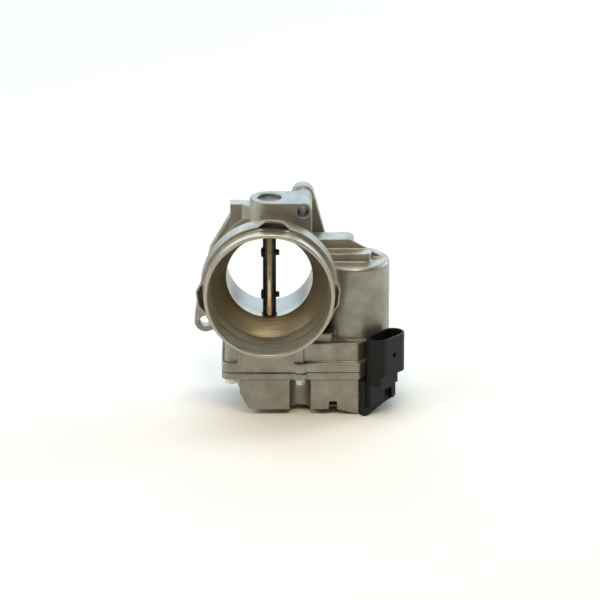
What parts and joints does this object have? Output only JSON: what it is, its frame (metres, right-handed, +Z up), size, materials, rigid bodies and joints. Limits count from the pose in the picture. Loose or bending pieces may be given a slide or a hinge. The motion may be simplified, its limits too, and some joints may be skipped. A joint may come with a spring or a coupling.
{
  "type": "throttle body",
  "caption": "Cast aluminium electronic throttle body with round throat, inlet socket, motor barrel, gear case below and black plug socket.",
  "frame": {"origin": "where the bore axis meets the manifold face", "axes": "+Y along the bore axis out of the manifold face, +Z up along the throttle shaft from the gear case towards the bearing block, +X towards the motor"},
  "size_m": [0.1222, 0.066, 0.1254],
  "materials": {
    "cast_aluminium": "fine grit-blasted casting with bright turned faces",
    "cast_aluminium_cover": "grit-blasted casting, warm grey",
    "rubber": "smooth moulded rubber",
    "zinc_plated_steel": "zinc plated, slightly greenish",
    "black_plastic": "glass-filled moulded plastic, satin",
    "tin_plated_brass": "tin plated, bright",
    "plain_steel": "ground steel, oiled",
    "spring_steel": "drawn wire",
    "magnet": "sintered ferrite",
    "carbon": "pressed carbon",
    "bronze": "sintered, oil filled",
    "circuit_board": "solder mask",
    "plate_brass": "rolled sheet, satin",
    "plate_screw_steel": "blackened steel",
    "gear_plastic": "natural moulded plastic",
    "lamination_steel": "stacked sheet steel",
    "copper_wire": "enamelled wire",
    "copper_bar": "turned copper"
  },
  "bodies": {
    "housing": {"main_housing": "cast_aluminium", "gear_cover": "cast_aluminium_cover", "cover_gasket": "rubber", "cover_screws": "zinc_plated_steel", "connector_shell": "black_plastic", "connector_pins": "tin_plated_brass", "lead_carrier": "black_plastic", "shaft_plug": "plain_steel", "upper_bearing": "plain_steel", "lower_bearing": "plain_steel", "shaft_seal": "rubber", "wave_washer": "plain_steel", "manifold_seal": "rubber", "return_spring": "spring_steel", "idler_pin": "plain_steel", "motor_can": "plain_steel", "motor_magnets": "magnet", "motor_end_cap": "black_plastic", "motor_brushes": "carbon", "motor_bearings": "bronze", "motor_screws": "zinc_plated_steel", "sensor_board": "circuit_board", "sensor_chip": "black_plastic"},
    "throttle": {"throttle_shaft": "plain_steel", "throttle_plate": "plate_brass", "plate_screws": "plate_screw_steel", "sector_gear": "gear_plastic", "sensor_magnet": "magnet"},
    "idler": {"idler_gear": "gear_plastic"},
    "rotor": {"pinion": "bronze", "motor_shaft": "plain_steel", "armature_core": "lamination_steel", "armature_windings": "copper_wire", "commutator": "copper_bar"}
  },
  "joints": [
    {"name": "throttle_turn", "type": "hinge", "parent": "housing", "child": "throttle", "pos_m": [0, -0.025, 0], "axis": [0, 0, 1], "range_deg": [0, 85], "stiffness_Nm_per_rad": 0.05, "springref_deg": -34.38, "deforming": ["return_spring"]},
    {"name": "idler_turn", "type": "hinge", "parent": "housing", "child": "idler", "pos_m": [0.026, -0.025, -0.066], "axis": [0, 0, 1], "range_deg": [-255, 0]},
    {"name": "rotor_turn", "type": "hinge", "parent": "housing", "child": "rotor", "pos_m": [0.049, -0.025, -0.02], "axis": [0, 0, 1], "range_deg": [0, 811.4]}
  ],
  "couplings": [
    {"joint": "idler_turn", "follows": "throttle_turn", "ratio": -3},
    {"joint": "rotor_turn", "follows": "throttle_turn", "ratio": 9.5455}
  ]
}
